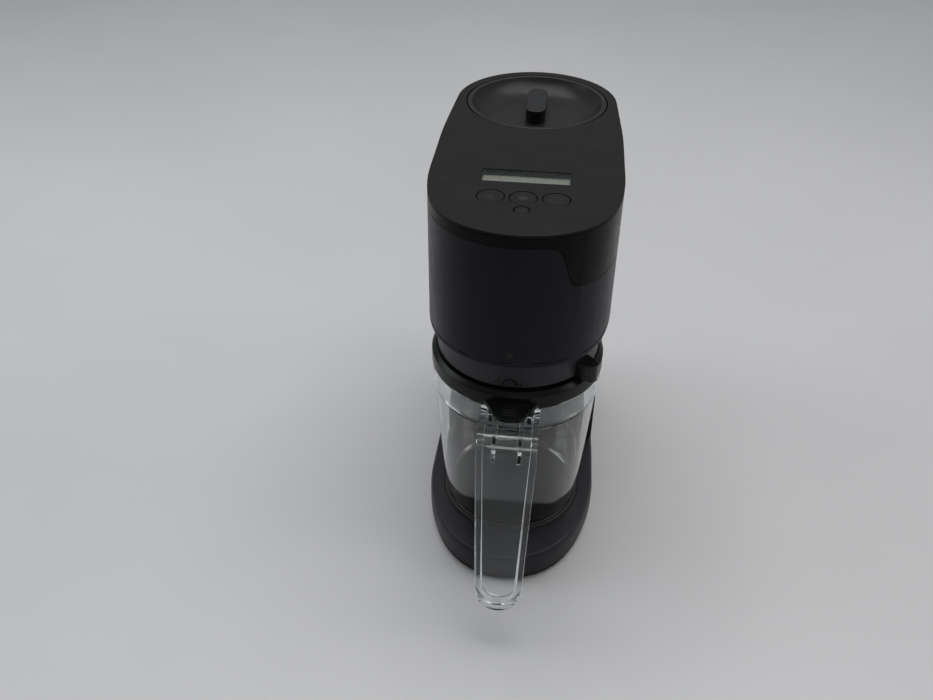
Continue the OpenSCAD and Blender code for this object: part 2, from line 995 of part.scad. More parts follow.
module shower_head() {
    color([0.2, 0.2, 0.21])
        at_brew()
            difference() {
                union() {
                    disc(40, 297, 304);
                    disc(9, 304, hood_top - 2);
                }
                disc(37, 299, 302);
                disc(3.4, 302, hood_top);
                for (i = [0 : 11])
                    rotate([0, 0, i * 30])
                        translate([i % 2 == 0 ? 30 : 18, 0, 296])
                            cylinder(r = 1.5, h = 4, $fn = 24);
            }
}

// ---- filter holder ----

rim_z = ring_z - 2.6;

module filter_holder() {
    color([0.165, 0.165, 0.18])
        at_brew() {
            revolve([
                [8, ring_z], [ring_r - 3.2, ring_z], [ring_r - 2.8, rim_z], [ring_r - 0.8, rim_z],
                [ring_r, rim_z + 0.8], [ring_r, deck_z - 0.4],
                [lug_in, deck_z - 0.4], [lug_in, basket_top - 2.2], [lug_in - wall, basket_top - 2.2],
                [lug_in - wall, deck_z - 3], [ring_r - wall, deck_z - 3], [ring_r - wall, ring_z + wall],
                [8, ring_z + wall]
            ]);
            for (i = [0 : 2])
                ring_sector(lug_in - 0.5, lug_out, 30 + 120 * i, lug_width, deck_z + 4, deck_z + 7.5);
        }
}

module lever_plan(grow) {
    root = ring_r - 6;
    tip = 87;
    half = 6.5;
    polygon(concat(
        [[root, -half - 3 + grow]],
        arc([tip, 0], half - grow, -70, 70, 12),
        [[root, half + 3 - grow]]
    ));
}

module filter_lever() {
    color([0.07, 0.07, 0.08])
        at_brew()
            rotate([0, 0, lever_angle - 90])
                difference() {
                    translate([0, 0, lever_z0])
                        linear_extrude(height = lever_z1 - lever_z0)
                            lever_plan(0);
                    disc(ring_r + 0.05, lever_z0 - 1, lever_z1 + 1);
                    // hollow underside, with a thin rim
                    intersection() {
                        translate([0, 0, lever_z0 - 1])
                            linear_extrude(height = lever_z1 - lever_z0 - 2)
                                lever_plan(2);
                        ring(120, ring_r + 2.5, lever_z0 - 1, lever_z1);
                    }
                }
}

basket_top = 286;
basket_low = 244;

module filter_basket() {
    color([0.1, 0.1, 0.11])
        at_brew()
            revolve([
                [6, basket_low], [35, basket_low], [67, basket_top - 2], [lug_in - 0.2, basket_top - 2],
                [lug_in - 0.2, basket_top], [65, basket_top], [33.4, basket_low + 2], [6, basket_low + 2]
            ]);
}

module mesh_filter() {
    color([0.75, 0.65, 0.4])
        at_brew()
            revolve([
                [0, basket_low + 3.4], [30.6, basket_low + 3.4], [62.6, basket_top - 1],
                [63.8, basket_top + 0.4], [66.5, basket_top + 0.4], [66.5, basket_top + 1.3],
                [62, basket_top + 1.3],
                [30, basket_low + 4.4], [0, basket_low + 4.4]
            ]);
}

// Helical spring round the valve stem
spring_r = 5;
wire_r = 0.5;
spring_z0 = 234.3;
spring_h = 8.4;
spring_turns = 4;
ring_sides = 6;
turn_steps = 14;

function spring_point(i, j) =
    let (
        steps = spring_turns * turn_steps,
        a = 360 * spring_turns * i / steps,
        b = 360 * j / ring_sides,
        r = spring_r + wire_r * cos(b)
    )
    [r * cos(a), r * sin(a), spring_z0 + spring_h * i / steps + wire_r * sin(b)];

module drip_spring() {
    steps = spring_turns * turn_steps;
    points = [for (i = [0 : steps]) for (j = [0 : ring_sides - 1]) spring_point(i, j)];
    sides = [for (i = [0 : steps - 1]) for (j = [0 : ring_sides - 1])
        let (k = (j + 1) % ring_sides)
        [i * ring_sides + j, (i + 1) * ring_sides + j, (i + 1) * ring_sides + k, i * ring_sides + k]];
    start = [[for (j = [0 : ring_sides - 1]) j]];
    end = [[for (j = [ring_sides - 1 : -1 : 0]) steps * ring_sides + j]];
    color([0.7, 0.7, 0.7])
        at_brew()
            polyhedron(points = points, faces = concat(sides, start, end), convexity = 6);
}

module drip_plunger() {
    color([0.75, 0.75, 0.72])
        at_brew() {
            disc(6, 223.8, ring_z + wall + 0.5);
            disc(10.5, ring_z + wall + 0.5, ring_z + wall + 2.6);
            disc(3, ring_z + wall + 2.6, basket_low - 1.5);
        }
}

// ---- jug ----

foot_r = 57.5;
glass_corner = 13;
neck_in = 1.2;

module jug_glass() {
    color([0.75, 0.8, 0.8, 0.35])
        at_brew()
            revolve(concat(
                [[0, jug_z], [foot_r, jug_z]],
                arc([foot_r, jug_z + glass_corner], glass_corner, -85, -25, 6),
                [[glass_low_r, 63], [glass_r, collar_low - 4], [glass_r - neck_in, collar_low - 1],
                 [glass_r - neck_in, jug_rim], [glass_r - neck_in - glass_t, jug_rim],
                 [glass_r - neck_in - glass_t, collar_low - 2], [glass_r - glass_t, collar_low - 5],
                 [glass_low_r - glass_t, 63]],
                reversed(arc([foot_r, jug_z + glass_corner], glass_corner - glass_t, -85, -25, 6)),
                [[foot_r, jug_z + glass_t], [0, jug_z + glass_t]]
            ));
}

// Side view of the handle, depth below its outer face
bend_z = handle_top - handle_bend_r;
straight_run = 175;

function handle_side(d) =
    let (
        turn = 90 - handle_tilt,
        r = handle_bend_r - d,
        out = [-cos(handle_tilt), sin(handle_tilt)],
        down = [-sin(handle_tilt), -cos(handle_tilt)],
        bend_c = [handle_bend_y, bend_z],
        tip = bend_c + r * out + straight_run * down
    )
    concat(
        [[brew_y - 60, handle_top - d]],
        arc(bend_c, r, 90, 90 + turn, 10),
        [tip]
    );

module handle_side_solid(d0, d1) {
    translate([-60, 0, 0])
        rotate([90, 0, 90])
            linear_extrude(height = 120)
                polygon(concat(handle_side(d0), reversed(handle_side(d1))));
}

// Front view of the handle: straight at the top, narrowing to a round end
handle_end_z = 63;
handle_end_low = 45.5;

module handle_front_profile(inset) {
    end_r = handle_low_w / 2;
    squash = (handle_end_z - handle_end_low) / end_r;
    polygon(concat(
        [[handle_w / 2 - inset, jug_rim + 20], [handle_w / 2 - inset, 186]],
        [for (a = [0 : -10 : -180])
            [(end_r - inset) * cos(a), handle_end_z + (end_r - inset) * squash * sin(a)]],
        [[inset - handle_w / 2, 186], [inset - handle_w / 2, jug_rim + 20]]
    ));
}

module handle_front_solid(inset) {
    translate([0, -100, 0])
        rotate([90, 0, 0])
            linear_extrude(height = 140)
                handle_front_profile(inset);
}

module jug_handle() {
    collar_r = glass_r - neck_in + 0.3;
    color([0.85, 0.88, 0.9, 0.4])
        difference() {
            union() {
                at_brew()
                    ring(81.4, collar_r, collar_low, jug_rim - 0.5);
                difference() {
                    intersection() {
                        handle_side_solid(0, handle_t);
                        handle_front_solid(0);
                    }
                    // channel behind the front web, open towards the jug
                    intersection() {
                        handle_side_solid(web_t, handle_t + 4);
                        handle_front_solid(rail_t);
                    }
                }
                // ribs that carry the web back to the collar
                for (x = [-13.2, 9.8])
                    intersection() {
                        handle_side_solid(web_t - 0.5, handle_t + 6);
                        span([x, -185, 181.5], [x + rib_t, -120, 203]);
                    }
            }
            at_brew()
                disc(collar_r, collar_low - 10, jug_rim + 10);
            // slots for the lid's hinge ears, and eyes for the pin
            for (side = [-1, 1])
                span([side * 17.3 - 2.4, pin_y - 5, pin_z - 6],
                     [side * 17.3 + 2.4, pin_y + 5, handle_top + 1]);
            translate([-30, pin_y, pin_z])
                rotate([0, 90, 0])
                    cylinder(r = 1.65, h = 60, $fn = 24);
        }
}

tab_tip_y = -146;
tab_low = handle_top + 2.5;
tab_t = 4;

module jug_lid() {
    color([0.09, 0.1, 0.1])
        difference() {
            union() {
                at_brew()
                    revolve([
                        [9, jug_lid_z - 12], [40, jug_lid_z - 9], [70, jug_lid_z - 13], [73, jug_lid_z - 24],
                        [75, jug_lid_z - 24], [75.4, jug_rim + 0.5], [jug_lid_r, jug_rim + 0.5],
                        [jug_lid_r, jug_lid_z - 4], [jug_lid_r - 4, jug_lid_z], [jug_lid_r - 10, jug_lid_z],
                        [66, jug_lid_z - 5.5], [40, jug_lid_z - 6.5], [9, jug_lid_z - 9.5]
                    ]);
                // hinge ears below the thumb tab
                difference() {
                    for (side = [-1, 1])
                        span([side * 17.3 - 1.9, pin_y - 4, pin_z - 3.5],
                             [side * 17.3 + 1.9, pin_y + 4, tab_low + 1]);
                    translate([-30, pin_y, pin_z])
                        rotate([0, 90, 0])
                            cylinder(r = 1.65, h = 60, $fn = 24);
                }
                // thumb tab over the handle
                translate([0, 0, tab_low])
                    linear_extrude(height = tab_t)
                        polygon(concat(
                            [[29, brew_y - 71], [25.5, brew_y - 77], [21.5, brew_y - 83], [18, brew_y - 89]],
                            [for (a = [0 : -12 : -180]) [15.5 * cos(a), tab_tip_y + 9 + 9 * sin(a)]],
                            [[-18, brew_y - 89], [-21.5, brew_y - 83], [-25.5, brew_y - 77],
                             [-29, brew_y - 71]]
                        ));
            }
            // steam slots
            for (turn = [-20, 0, 20])
                at_brew()
                    rotate([0, 0, turn])
                        span([-2, 48, jug_lid_z - 16], [2, 58, jug_lid_z]);
            for (i = [0 : 3])
                span([-6, tab_tip_y + 6 + i * 3.6, tab_low + tab_t - 0.6],
                     [6, tab_tip_y + 7 + i * 3.6, tab_low + tab_t + 1]);
        }
}

module jug_lid_pin() {
    color([0.75, 0.75, 0.77])
        translate([-26.5, pin_y, pin_z])
            rotate([0, 90, 0])
                cylinder(r = 1.6, h = 53, $fn = 24);
}

base_housing();
base_bottom_cover();
rubber_feet();
base_screws();
hot_plate();
hot_plate_seal();
heating_element();
thermostat();
power_board();
cord_gland();
check_valve();
inlet_hose();
column_housing();
column_screws();
riser_pipe();
wire_loom();
tank_socket();
brew_deck();
drum_shell();
collar_panel();
top_panel();
lcd_window();
lcd_module();
control_board();
button_switches();
bean_hopper();
upper_burr();
grinder_housing();
grinder_gearbox();
grinder_motor();
motor_cap();
grind_chute();
steam_hood();
shower_head();
button_left();
button_centre();
button_right();
button_small();
bean_lid();
bean_lid_seal();
lower_burr();
burr_shaft();
filter_holder();
filter_lever();
filter_basket();
mesh_filter();
drip_spring();
drip_plunger();
jug_glass();
jug_handle();
jug_lid();
jug_lid_pin();
water_tank();
tank_lid();
tank_valve();
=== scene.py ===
import json
import math

import bmesh
import bpy
from mathutils import Matrix, Vector


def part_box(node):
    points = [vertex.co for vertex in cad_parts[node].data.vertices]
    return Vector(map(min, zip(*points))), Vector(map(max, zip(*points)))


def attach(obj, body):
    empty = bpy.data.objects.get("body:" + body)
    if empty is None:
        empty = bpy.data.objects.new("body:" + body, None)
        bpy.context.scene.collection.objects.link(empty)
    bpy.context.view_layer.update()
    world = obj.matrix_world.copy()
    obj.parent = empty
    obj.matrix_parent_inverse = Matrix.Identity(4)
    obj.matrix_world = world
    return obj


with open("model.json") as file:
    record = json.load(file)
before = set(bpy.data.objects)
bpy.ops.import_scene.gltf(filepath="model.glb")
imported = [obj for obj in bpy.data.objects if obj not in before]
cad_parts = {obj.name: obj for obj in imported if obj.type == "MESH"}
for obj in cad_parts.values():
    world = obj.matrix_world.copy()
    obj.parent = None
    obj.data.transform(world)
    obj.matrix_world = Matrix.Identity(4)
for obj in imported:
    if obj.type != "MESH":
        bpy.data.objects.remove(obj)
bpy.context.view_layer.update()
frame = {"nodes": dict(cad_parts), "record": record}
NODES = frame["nodes"]
MM = 0.001

# ---- camera and light ----

# In front of the machine and above it, a little right of its middle.
CAMERA_PLACE = (0.0294, -0.7637, 0.7493)
PITCH, YAW, ROLL = 0.6427, 0.1086, 0.0084
SENSOR_WIDTH = 36
FOCAL_LENGTH = 35.884


def make_camera():
    """Aims by pitch and yaw, then rolls about the line of sight."""
    forward = Vector((-math.sin(YAW) * math.cos(PITCH), math.cos(YAW) * math.cos(PITCH), -math.sin(PITCH)))
    level = Vector((math.cos(YAW), math.sin(YAW), 0))
    upward = level.cross(forward)
    across = level * math.cos(ROLL) + upward * math.sin(ROLL)
    up = upward * math.cos(ROLL) - level * math.sin(ROLL)
    data = bpy.data.cameras.new("camera")
    data.sensor_width = SENSOR_WIDTH
    data.lens = FOCAL_LENGTH
    data.clip_start = 0.01
    data.clip_end = 100
    camera = bpy.data.objects.new("camera", data)
    turn = Matrix((across, up, -forward)).transposed()
    camera.matrix_world = Matrix.Translation(CAMERA_PLACE) @ turn.to_4x4()
    bpy.context.scene.collection.objects.link(camera)
    bpy.context.scene.camera = camera


make_camera()
bpy.context.scene.view_settings.view_transform = "Standard"


def make_world():
    """A pale room: bright overhead and behind the machine, dimmer in front of it."""
    world = bpy.data.worlds.new("studio")
    world.use_nodes = True
    tree = world.node_tree
    aim = tree.nodes.new("ShaderNodeSeparateXYZ")
    tree.links.new(tree.nodes.new("ShaderNodeTexCoord").outputs["Generated"], aim.inputs["Vector"])
    product = tree.nodes.new("ShaderNodeMath")
    product.operation = "MULTIPLY"
    # brightness by height, from the horizon to overhead, and by depth, from the front to the back
    ramps = (("Z", -0.1, 0.9, 0.2, 0.6), ("Y", -0.8, 0.7, 0.45, 1.0))
    for place, (axis, low, high, dim, bright) in enumerate(ramps):
        ramp = tree.nodes.new("ShaderNodeMapRange")
        ramp.interpolation_type = "SMOOTHSTEP"
        ramp.inputs["From Min"].default_value = low
        ramp.inputs["From Max"].default_value = high
        ramp.inputs["To Min"].default_value = dim
        ramp.inputs["To Max"].default_value = bright
        tree.links.new(aim.outputs[axis], ramp.inputs["Value"])
        tree.links.new(ramp.outputs["Result"], product.inputs[place])
    background = tree.nodes["Background"]
    background.inputs["Color"].default_value = (0.93, 0.965, 1.0, 1)
    tree.links.new(product.outputs["Value"], background.inputs["Strength"])
    bpy.context.scene.world = world


make_world()


def area_light(name, place, target, size, power, colour):
    """A soft rectangular lamp, aimed at a point on the machine."""
    data = bpy.data.lights.new(name, "AREA")
    data.shape = "RECTANGLE"
    data.size, data.size_y = size
    data.energy = power
    data.color = colour
    lamp = bpy.data.objects.new(name, data)
    lamp.location = place
    lamp.rotation_euler = (Vector(target) - Vector(place)).to_track_quat("-Z", "Y").to_euler()
    bpy.context.scene.collection.objects.link(lamp)


area_light("ceiling", (0.1, 0.5, 2.4), (0, 0, 0.1), (2.4, 1.6), 46, (1, 0.99, 0.97))
area_light("side", (-1.9, 0.1, 1.3), (0, 0, 0.2), (1.0, 1.2), 11, (0.95, 0.98, 1))
area_light("right", (2.0, -0.1, 1.2), (0, 0, 0.2), (0.8, 1.0), 8, (1, 0.98, 0.95))
area_light("front", (0.5, -2.4, 1.7), (0, 0, 0.1), (1.4, 0.6), 6, (1, 0.98, 0.95))


# ---- node helpers: noise scales are per metre, bump distances are in metres ----

class Tree:
    """Short calls for building a material's nodes."""

    def __init__(self, name):
        self.mat = bpy.data.materials.new(name)
        self.mat.use_nodes = True
        self.tree = self.mat.node_tree
        self.shader = self.tree.nodes["Principled BSDF"]
        self.place = self.add("ShaderNodeTexCoord").outputs["Object"]

    def add(self, kind, **values):
        node = self.tree.nodes.new(kind)
        for key, value in values.items():
            setattr(node, key, value)
        return node

    def join(self, a, b):
        self.tree.links.new(a, b)

    def set(self, **values):
        for key, value in values.items():
            self.shader.inputs[key.replace("_", " ")].default_value = value

    def stretched(self, scale):
        node = self.add("ShaderNodeMapping")
        node.inputs["Scale"].default_value = scale
        self.join(self.place, node.inputs["Vector"])
        return node.outputs["Vector"]

    def noise(self, scale, detail=2.0, rough=0.5, vector=None):
        node = self.add("ShaderNodeTexNoise")
        node.inputs["Scale"].default_value = scale
        node.inputs["Detail"].default_value = detail
        node.inputs["Roughness"].default_value = rough
        self.join(vector or self.place, node.inputs["Vector"])
        return node.outputs["Fac"]

    def cells(self, scale):
        node = self.add("ShaderNodeTexVoronoi")
        node.inputs["Scale"].default_value = scale
        self.join(self.place, node.inputs["Vector"])
        return node.outputs["Distance"]

    def spread(self, value, low, high, to_low=0.0, to_high=1.0):
        """Maps low..high onto to_low..to_high, and clamps outside."""
        node = self.add("ShaderNodeMapRange")
        node.inputs["From Min"].default_value = low
        node.inputs["From Max"].default_value = high
        node.inputs["To Min"].default_value = to_low
        node.inputs["To Max"].default_value = to_high
        self.join(value, node.inputs["Value"])
        return node.outputs["Result"]

    def blend(self, fac, a, b):
        """Colour a where fac is 0, colour b where it is 1. Each is a tuple or a node's output."""
        node = self.add("ShaderNodeMix", data_type="RGBA")
        self.join(fac, node.inputs["Factor"])
        for value, name in ((a, "A"), (b, "B")):
            socket = [i for i in node.inputs if i.name == name and i.type == "RGBA"][0]
            if isinstance(value, tuple):
                socket.default_value = (*value, 1)
            else:
                self.join(value, socket)
        return [o for o in node.outputs if o.type == "RGBA"][0]

    def maths(self, kind, a, b):
        node = self.add("ShaderNodeMath", operation=kind)
        for i, value in enumerate((a, b)):
            if isinstance(value, (int, float)):
                node.inputs[i].default_value = value
            else:
                self.join(value, node.inputs[i])
        return node.outputs["Value"]

    def bump(self, height, strength, distance, normal=None):
        node = self.add("ShaderNodeBump")
        node.inputs["Strength"].default_value = strength
        node.inputs["Distance"].default_value = distance
        self.join(height, node.inputs["Height"])
        if normal is not None:
            self.join(normal, node.inputs["Normal"])
        return node.outputs["Normal"]

    def edges(self, radius):
        """1 on sharp edges, 0 on flat faces."""
        bevel = self.add("ShaderNodeBevel", samples=4)
        bevel.inputs["Radius"].default_value = radius
        geometry = self.add("ShaderNodeNewGeometry")
        dot = self.add("ShaderNodeVectorMath", operation="DOT_PRODUCT")
        self.join(bevel.outputs["Normal"], dot.inputs[0])
        self.join(geometry.outputs["Normal"], dot.inputs[1])
        return self.spread(dot.outputs["Value"], 0.99, 0.85)


def scaled(colour, factor):
    """The colour made lighter or darker, up to white."""
    return tuple(min(1.0, c * factor) for c in colour)


def plastic(name, colour, rough, grain=1400, bump=0.12, mottle=0.14, dust=0.0, wear=0.0, specular=0.26,
            coat=0.0, streak=False, polish=2.6):
    """Moulded plastic: fine spark grain, faint mottling, uneven gloss, settled dust, and sharp edges
    lightened, partly as wear and partly as a painted highlight.
    """
    t = Tree(name)
    broad = t.noise(11, 3.0, 0.6)
    fine = t.noise(120, 2.0)
    grain_map = t.noise(grain, 1.0, 0.7)
    tint = t.blend(t.spread(broad, 0.3, 0.7), scaled(colour, 1 - mottle), scaled(colour, 1 + mottle))
    tint = t.blend(t.spread(grain_map, 0.35, 0.65, 0.0, 0.22), tint, scaled(colour, 1.5))
    if wear:
        # sharp edges lightened: partly real wear, partly a painted highlight standing in for light caught
        # along the edge
        edge = t.maths("MULTIPLY", t.edges(0.0012), t.spread(t.noise(60, 3.0), 0.4, 0.62))
        tint = t.blend(t.maths("MULTIPLY", edge, wear), tint, scaled(colour, polish))
    if dust:
        up = t.add("ShaderNodeSeparateXYZ")
        t.join(t.add("ShaderNodeNewGeometry").outputs["Normal"], up.inputs["Vector"])
        patches = t.spread(t.noise(26, 5.0, 0.65), 0.42, 0.72)
        film = t.maths("MULTIPLY", t.spread(up.outputs["Z"], 0.2, 1.0), patches)
        specks = t.spread(t.cells(210), 0.10, 0.05)
        lying = t.maths("MULTIPLY", t.spread(up.outputs["Z"], 0.5, 1.0), specks)
        lying = t.maths("MULTIPLY", lying, t.spread(t.noise(34, 2.0), 0.56, 0.62))
        tint = t.blend(t.maths("MULTIPLY", film, dust), tint, (0.07, 0.07, 0.068))
        tint = t.blend(t.maths("MULTIPLY", lying, 0.3), tint, (0.3, 0.3, 0.28))
    t.join(tint, t.shader.inputs["Base Color"])
    uneven = t.maths("ADD", t.spread(broad, 0.3, 0.7, -0.04, 0.04),
                     t.spread(fine, 0.3, 0.7, -0.03, 0.03))
    if streak:
        wipe = t.noise(1.0, 4.0, 0.6, t.stretched((60, 60, 9)))
        uneven = t.maths("ADD", uneven, t.spread(wipe, 0.35, 0.65, -0.035, 0.035))
    t.join(t.maths("ADD", uneven, rough), t.shader.inputs["Roughness"])
    normal = t.bump(grain_map, bump, 0.00012)
    normal = t.bump(t.noise(38, 2.0), 0.06, 0.0006, normal)
    t.join(normal, t.shader.inputs["Normal"])
    t.set(Specular_IOR_Level=specular, Coat_Weight=coat, Coat_Roughness=0.18)
    return t.mat


def metal(name, colour, rough, lines=(900, 900, 30), bump=0.1, tarnish=0.12):
    """Brushed or ground metal."""
    t = Tree(name)
    brushed = t.noise(1.0, 3.0, 0.7, t.stretched(lines))
    cloudy = t.noise(40, 4.0, 0.6)
    tint = t.blend(t.spread(cloudy, 0.35, 0.7), colour, scaled(colour, 1 - tarnish * 2))
    tint = t.blend(t.spread(brushed, 0.3, 0.7, 0.0, 0.4), tint, scaled(colour, 1.2))
    t.join(tint, t.shader.inputs["Base Color"])
    t.join(t.spread(brushed, 0.3, 0.7, rough - 0.06, rough + 0.1), t.shader.inputs["Roughness"])
    t.join(t.bump(brushed, bump, 0.0001), t.shader.inputs["Normal"])
    t.set(Metallic=1.0)
    return t.mat


def rubber(name, colour, rough=0.7):
    """Matt rubber, silicone or cable sheath, faintly blotched."""
    t = Tree(name)
    blotch = t.noise(90, 4.0, 0.6)
    tint = t.blend(t.spread(blotch, 0.35, 0.7), scaled(colour, 0.8), scaled(colour, 1.35))
    t.join(tint, t.shader.inputs["Base Color"])
    t.join(t.spread(blotch, 0.3, 0.7, rough - 0.08, rough + 0.08), t.shader.inputs["Roughness"])
    t.join(t.bump(t.noise(1800, 2.0), 0.2, 0.0001), t.shader.inputs["Normal"])
    t.set(Specular_IOR_Level=0.35)
    return t.mat


def clear(name, colour, ior, rough=0.02, haze=0.06, scratches=0.05, ripple=0.02):
    """Glass or clear plastic with faint wipe marks, hairline scratches and a slight ripple."""
    t = Tree(name)
    smear = t.noise(1.0, 4.0, 0.65, t.stretched((28, 28, 12)))
    hair = t.noise(1.0, 2.0, 0.5, t.stretched((500, 500, 40)))
    tint = t.blend(t.spread(smear, 0.35, 0.7), colour, scaled(colour, 0.985))
    t.join(tint, t.shader.inputs["Base Color"])
    film = t.maths("ADD", t.spread(smear, 0.52, 0.75, rough, rough + haze),
                   t.spread(hair, 0.66, 0.76, 0, scratches))
    t.join(film, t.shader.inputs["Roughness"])
    t.join(t.bump(t.noise(16, 2.0), ripple, 0.002), t.shader.inputs["Normal"])
    t.set(Transmission_Weight=1.0, IOR=ior)
    return t.mat


def window(name, colour, alpha):
    """Thin clear plastic: lets most light straight through, with a faint film and a soft gloss."""
    t = Tree(name)
    smear = t.noise(1.0, 4.0, 0.65, t.stretched((60, 90, 12)))
    t.join(t.blend(t.spread(smear, 0.35, 0.7), colour, scaled(colour, 1.6)), t.shader.inputs["Base Color"])
    t.join(t.spread(smear, 0.45, 0.75, 0.04, 0.16), t.shader.inputs["Roughness"])
    t.join(t.spread(smear, 0.3, 0.75, alpha, alpha * 1.25), t.shader.inputs["Alpha"])
    t.join(t.bump(t.noise(700, 2.0), 0.03, 0.0001), t.shader.inputs["Normal"])
    t.set(IOR=1.47)
    return t.mat


def board(name):
    """Printed circuit board: solder mask over copper tracks."""
    t = Tree(name)
    tracks = t.add("ShaderNodeTexBrick")
    tracks.inputs["Scale"].default_value = 90
    tracks.inputs["Mortar Size"].default_value = 0.03
    t.join(t.place, tracks.inputs["Vector"])
    pads = t.spread(t.cells(260), 0.16, 0.1)
    tint = t.blend(tracks.outputs["Fac"], (0.012, 0.09, 0.035), (0.03, 0.17, 0.07))
    tint = t.blend(pads, tint, (0.55, 0.5, 0.38))
    t.join(tint, t.shader.inputs["Base Color"])
    t.join(t.spread(t.noise(140, 2.0), 0.3, 0.7, 0.25, 0.42), t.shader.inputs["Roughness"])
    t.join(t.bump(tracks.outputs["Fac"], 0.3, 0.0001), t.shader.inputs["Normal"])
    t.set(Coat_Weight=0.4, Coat_Roughness=0.2)
    return t.mat


def mesh_gold(name):
    """Fine woven metal mesh."""
    t = Tree(name)
    wires = []
    for direction in ("X", "Y"):
        wave = t.add("ShaderNodeTexWave", wave_type="BANDS", bands_direction=direction)
        wave.inputs["Scale"].default_value = 420
        t.join(t.place, wave.inputs["Vector"])
        wires.append(wave.outputs["Fac"])
    net = t.maths("MULTIPLY", *wires)
    t.join(t.blend(net, (0.2, 0.13, 0.04), (0.75, 0.56, 0.25)), t.shader.inputs["Base Color"])
    t.join(t.spread(t.noise(80, 3.0), 0.3, 0.7, 0.28, 0.42), t.shader.inputs["Roughness"])
    t.join(t.bump(net, 0.5, 0.0002), t.shader.inputs["Normal"])
    t.set(Metallic=0.9)
    return t.mat


def display(name, colour, painted_glow):
    """The display's reflective layer: greenish, with a fine line pattern, and a faint painted glow that
    brightens it though it has no backlight.
    """
    t = Tree(name)
    lines = t.noise(1.0, 1.0, 0.5, t.stretched((30, 1600, 1)))
    cloud = t.noise(30, 2.0)
    tint = t.blend(t.spread(lines, 0.4, 0.6, 0.0, 0.4), colour, scaled(colour, 0.86))
    tint = t.blend(t.spread(cloud, 0.35, 0.65, 0, 0.5), tint, scaled(colour, 1.1))
    t.join(tint, t.shader.inputs["Base Color"])
    # the same colour glows faintly: painted light, since the display has no backlight
    t.join(tint, t.shader.inputs["Emission Color"])
    t.join(t.spread(cloud, 0.3, 0.7, 0.24, 0.34), t.shader.inputs["Roughness"])
    t.join(t.bump(lines, 0.15, 0.00005), t.shader.inputs["Normal"])
    t.set(Emission_Strength=painted_glow)
    return t.mat


# ---- materials, one per slot of the record ----

MATERIALS = {}


def fill(slot, make, *values, **looks):
    """Makes the material of one slot, named after it."""
    MATERIALS[slot] = make(slot, *values, **looks)


fill("base_plastic", plastic, (0.0105, 0.0105, 0.0135), 0.42, mottle=0.08, dust=0.06, wear=0.2)
fill("foot_rubber", rubber, (0.012, 0.012, 0.012))
fill("under_plastic", plastic, (0.004, 0.004, 0.0045), 0.55, grain=900, bump=0.2, dust=0.05)
fill("screw_steel", metal, (0.55, 0.55, 0.56), 0.3, lines=(300, 300, 300))
fill("plate_enamel", plastic, (0.034, 0.034, 0.037), 0.32, grain=700, bump=0.15, dust=0.1, wear=0.2)
fill("seal_rubber", rubber, (0.010, 0.010, 0.011), 0.55)
fill("element_aluminium", metal, (0.6, 0.6, 0.61), 0.42, lines=(120, 120, 120))
fill("thermostat_metal", metal, (0.6, 0.58, 0.52), 0.34)
fill("board_green", board)
fill("pale_plastic", plastic, (0.62, 0.61, 0.56), 0.42, mottle=0.05)
fill("hose_silicone", rubber, (0.55, 0.52, 0.46), 0.45)
fill("riser_steel", metal, (0.55, 0.56, 0.58), 0.25, lines=(200, 200, 14))
fill("cable_black", rubber, (0.014, 0.014, 0.015), 0.5)
fill("column_plastic", plastic, (0.0115, 0.0115, 0.014), 0.42, mottle=0.08, dust=0.08, streak=True)
fill("inner_plastic", plastic, (0.045, 0.045, 0.047), 0.52, grain=900)
# the brewing head's edges get a strong painted highlight: a light line along its top edge and seams
fill("drum_plastic", plastic, (0.0058, 0.0053, 0.0088), 0.36, bump=0.1, mottle=0.06, wear=0.7,
     streak=True, specular=0.15, polish=13)
fill("collar_plastic", plastic, (0.0022, 0.0021, 0.0027), 0.3, bump=0.06, mottle=0.06, wear=0.2,
     specular=0.09)
fill("panel_plastic", plastic, (0.0058, 0.0058, 0.006), 0.5, bump=0.2, mottle=0.05, dust=0.03,
     wear=0.3, specular=0.1)
fill("display_window", window, (0.05, 0.06, 0.05), 0.12)
# the last number is the display's painted glow
fill("display_module", display, (0.22, 0.228, 0.2), 0.03)
fill("hopper_clear", clear, (0.34, 0.34, 0.36), 1.49, 0.04, 0.1, 0.08)
fill("burr_steel", metal, (0.5, 0.5, 0.5), 0.28, lines=(160, 160, 500))
fill("motor_steel", metal, (0.5, 0.5, 0.52), 0.36)
fill("button_plastic", plastic, (0.006, 0.006, 0.0063), 0.46, bump=0.18, mottle=0.06, dust=0.03,
     wear=0.3, specular=0.1)
fill("lid_plastic", plastic, (0.006, 0.006, 0.0064), 0.33, bump=0.07, mottle=0.06, dust=0.05,
     wear=0.3, specular=0.16)
fill("seal_silicone", rubber, (0.3, 0.3, 0.3), 0.5)
fill("holder_plastic", plastic, (0.017, 0.017, 0.021), 0.38, bump=0.1, mottle=0.06, wear=0.3)
fill("lever_plastic", plastic, (0.005, 0.005, 0.0056), 0.26, bump=0.05, wear=0.6, coat=0.12)
fill("basket_plastic", plastic, (0.016, 0.016, 0.017), 0.45)
fill("mesh_gold", mesh_gold)
fill("spring_steel", metal, (0.6, 0.6, 0.6), 0.2, lines=(300, 300, 300))
fill("jug_glass", clear, (0.975, 0.985, 0.98), 1.47, 0.0, 0.04, 0.05)
fill("handle_clear", clear, (0.945, 0.975, 0.98), 1.49, 0.0, 0.02, 0.03, 0.02)
fill("jug_lid_plastic", plastic, (0.0036, 0.0042, 0.0045), 0.3, bump=0.06, dust=0.05, wear=0.3,
     specular=0.16)
fill("pin_steel", metal, (0.6, 0.6, 0.6), 0.22)
fill("tank_smoke", clear, (0.24, 0.24, 0.26), 1.5, 0.03, 0.1, 0.08)

for row in frame["record"]["subparts"]:
    NODES[row["node"]].data.materials.clear()
    NODES[row["node"]].data.materials.append(MATERIALS[row["material_slot"]])


# ---- softened edges on the moulded parts ----

SHARP_EDGE = math.radians(32)
FLAT_FACE = math.radians(0.6)
HAIR = 0.3 * MM


